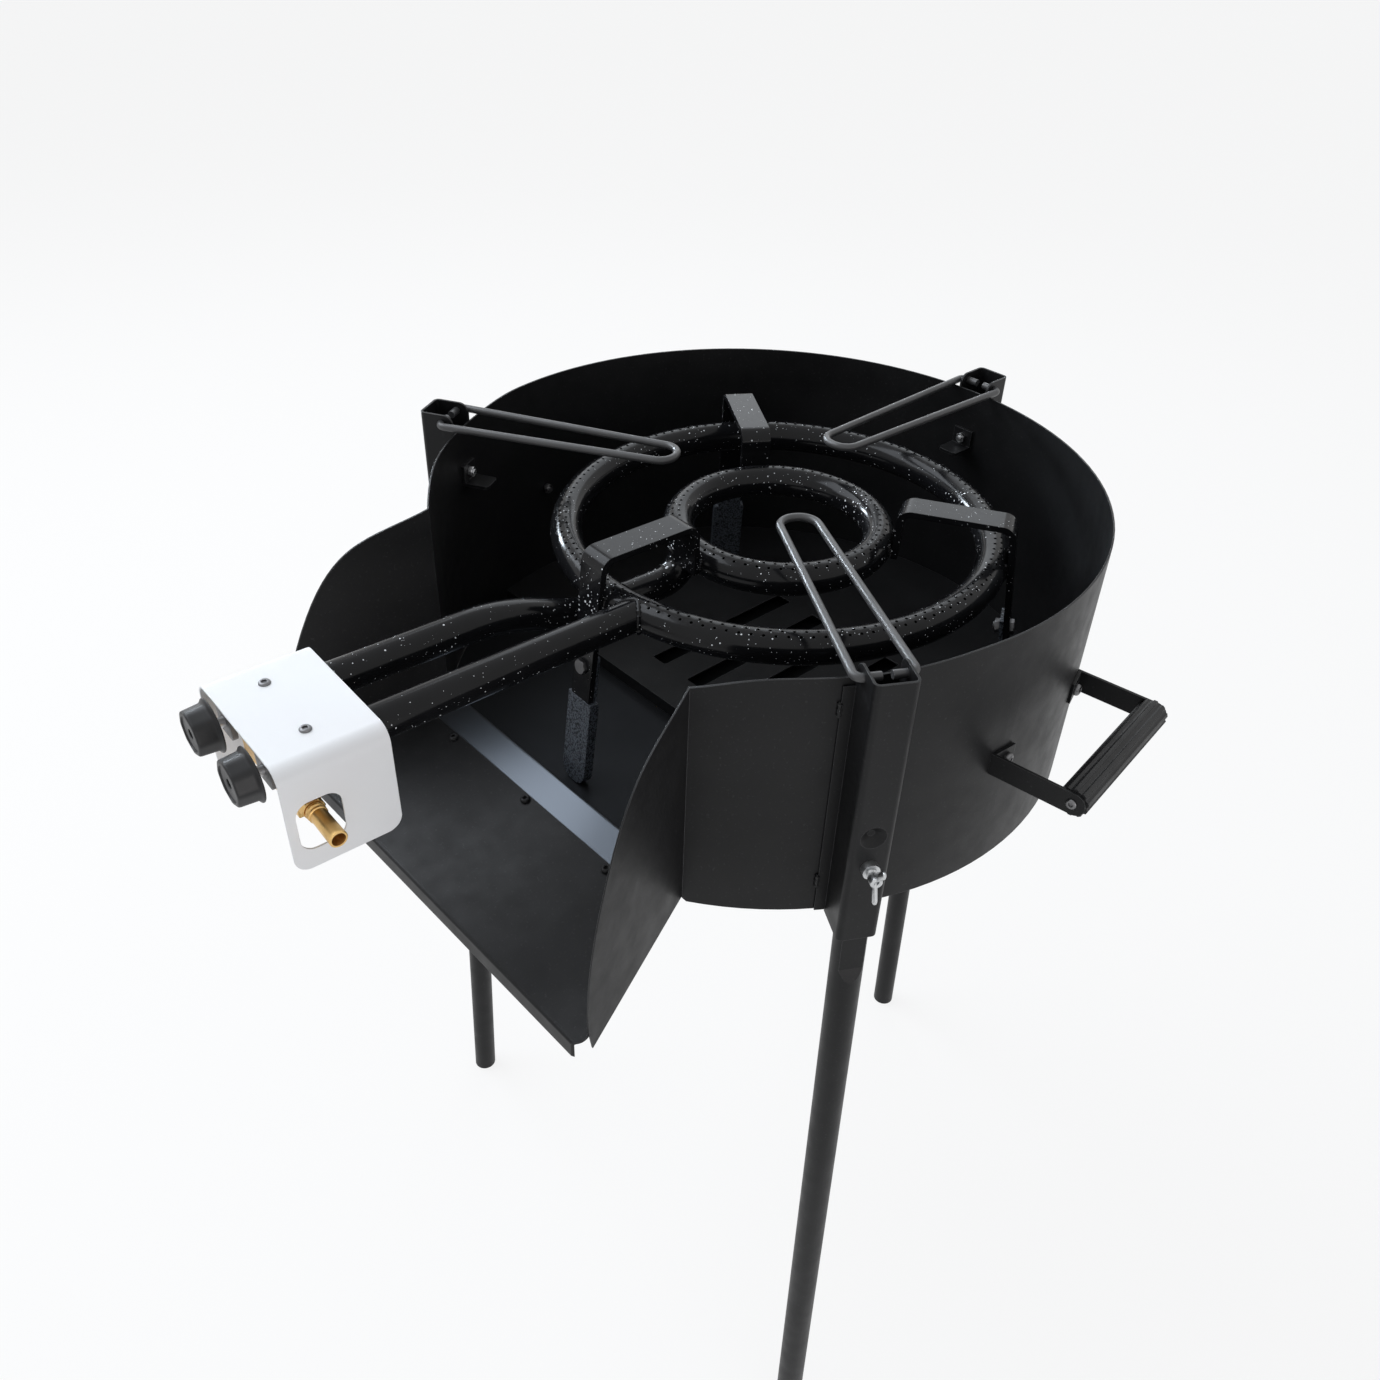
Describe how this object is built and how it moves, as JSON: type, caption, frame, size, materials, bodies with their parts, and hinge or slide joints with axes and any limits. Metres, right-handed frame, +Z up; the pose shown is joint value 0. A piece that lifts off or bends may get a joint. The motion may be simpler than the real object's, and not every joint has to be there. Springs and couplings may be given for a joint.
{
  "type": "paella burner",
  "caption": "Gas paella burner with concentric rings in a round open-fronted wind guard on tube legs, with folding wire pan arms, carrying handles and a shielded tap unit.",
  "frame": {"origin": "on the ground, on the axis of the round wind guard", "axes": "+Z up, -Y towards the open mouth and the knobs, +X to the hose tail's side"},
  "size_m": [0.7583, 0.8957, 1.019],
  "materials": {
    "black_powder_coat": "satin",
    "speckled_enamel": "gloss",
    "hammered_grey": "satin",
    "dark_wire": "satin",
    "white_powder_coat": "satin",
    "black_plastic": "matte",
    "zinc": "satin",
    "brass": "satin",
    "cast_aluminium": "matte",
    "steel": "satin"
  },
  "bodies": {
    "stand": {"air_mixer_left": "cast_aluminium", "air_mixer_right": "cast_aluminium", "baffle_plate": "black_powder_coat", "base_pan": "black_powder_coat", "clamp_nuts": "zinc", "control_shield": "white_powder_coat", "foot_bolts": "zinc", "foot_front": "hammered_grey", "foot_left": "hammered_grey", "foot_right": "hammered_grey", "front_shelf": "black_powder_coat", "gas_rail": "brass", "grip_left": "black_plastic", "grip_right": "black_plastic", "grip_screws": "zinc", "handle_bolts": "zinc", "handle_strap_left_front": "black_powder_coat", "handle_strap_left_rear": "black_powder_coat", "handle_strap_right_front": "black_powder_coat", "handle_strap_right_rear": "black_powder_coat", "hose_tail": "brass", "injectors": "brass", "inner_feed_tube": "speckled_enamel", "inner_ring": "speckled_enamel", "lug_bolts": "zinc", "outer_feed_tube": "speckled_enamel", "outer_ring": "speckled_enamel", "post_back": "black_powder_coat", "post_left": "black_powder_coat", "post_right": "black_powder_coat", "shelf_bolts": "zinc", "shield_screws": "zinc", "support_bar_front": "speckled_enamel", "support_bar_left": "speckled_enamel", "support_bar_right": "speckled_enamel", "tap_body_left": "brass", "tap_body_right": "brass", "tap_bonnets": "cast_aluminium", "wall_lugs": "black_powder_coat", "windshield": "black_powder_coat"},
    "leg_right": {"leg_right": "black_powder_coat"},
    "wing_screw_right": {"wing_screw_right": "zinc"},
    "pan_arm_right": {"pan_arm_right": "dark_wire"},
    "leg_back": {"leg_back": "black_powder_coat"},
    "wing_screw_back": {"wing_screw_back": "zinc"},
    "pan_arm_back": {"pan_arm_back": "dark_wire"},
    "leg_left": {"leg_left": "black_powder_coat"},
    "wing_screw_left": {"wing_screw_left": "zinc"},
    "pan_arm_left": {"pan_arm_left": "dark_wire"},
    "tap_left": {"tap_plug_left": "brass", "tap_spring_left": "steel"},
    "knob_left": {"spindle_left": "steel", "knob_left": "black_plastic"},
    "tap_right": {"tap_plug_right": "brass", "tap_spring_right": "steel"},
    "knob_right": {"spindle_right": "steel", "knob_right": "black_plastic"}
  },
  "joints": [
    {"name": "leg_slide_right", "type": "slide", "parent": "stand", "child": "leg_right", "axis": [0.0378, -0.0218, -0.999], "range_m": [0, 0.1]},
    {"name": "wing_screw_turn_right", "type": "hinge", "parent": "stand", "child": "wing_screw_right", "pos_m": [0.28925, -0.167, 0.847], "axis": [0.866, -0.5, 0], "range_deg": [0, 450]},
    {"name": "pan_arm_fold_right", "type": "hinge", "parent": "stand", "child": "pan_arm_right", "pos_m": [0.2702, -0.156, 1.0108], "axis": [0.5, 0.866, 0], "range_deg": [0, 240]},
    {"name": "leg_slide_back", "type": "slide", "parent": "stand", "child": "leg_back", "axis": [0, 0.0436, -0.999], "range_m": [0, 0.1]},
    {"name": "wing_screw_turn_back", "type": "hinge", "parent": "stand", "child": "wing_screw_back", "pos_m": [0, 0.334, 0.847], "axis": [0, 1, 0], "range_deg": [0, 450]},
    {"name": "pan_arm_fold_back", "type": "hinge", "parent": "stand", "child": "pan_arm_back", "pos_m": [0, 0.312, 1.0108], "axis": [-1, 0, 0], "range_deg": [0, 240]},
    {"name": "leg_slide_left", "type": "slide", "parent": "stand", "child": "leg_left", "axis": [-0.0378, -0.0218, -0.999], "range_m": [0, 0.1]},
    {"name": "wing_screw_turn_left", "type": "hinge", "parent": "stand", "child": "wing_screw_left", "pos_m": [-0.28925, -0.167, 0.847], "axis": [-0.866, -0.5, 0], "range_deg": [0, 450]},
    {"name": "pan_arm_fold_left", "type": "hinge", "parent": "stand", "child": "pan_arm_left", "pos_m": [-0.2702, -0.156, 1.0108], "axis": [0.5, -0.866, 0], "range_deg": [0, 240]},
    {"name": "tap_turn_left", "type": "hinge", "parent": "stand", "child": "tap_left", "pos_m": [-0.04095, -0.48505, 0.9565], "axis": [-0.0488, -0.9988, 0], "range_deg": [0, 210]},
    {"name": "knob_push_left", "type": "slide", "parent": "tap_left", "child": "knob_left", "axis": [0.0488, 0.9988, 0], "range_m": [0, 0.003], "stiffness_N_per_m": 800, "springref_m": -0.004, "deforming": ["tap_spring_left"]},
    {"name": "tap_turn_right", "type": "hinge", "parent": "stand", "child": "tap_right", "pos_m": [0.02497, -0.48828, 0.9565], "axis": [-0.0488, -0.9988, 0], "range_deg": [0, 210]},
    {"name": "knob_push_right", "type": "slide", "parent": "tap_right", "child": "knob_right", "axis": [0.0488, 0.9988, 0], "range_m": [0, 0.003], "stiffness_N_per_m": 800, "springref_m": -0.004, "deforming": ["tap_spring_right"]}
  ]
}
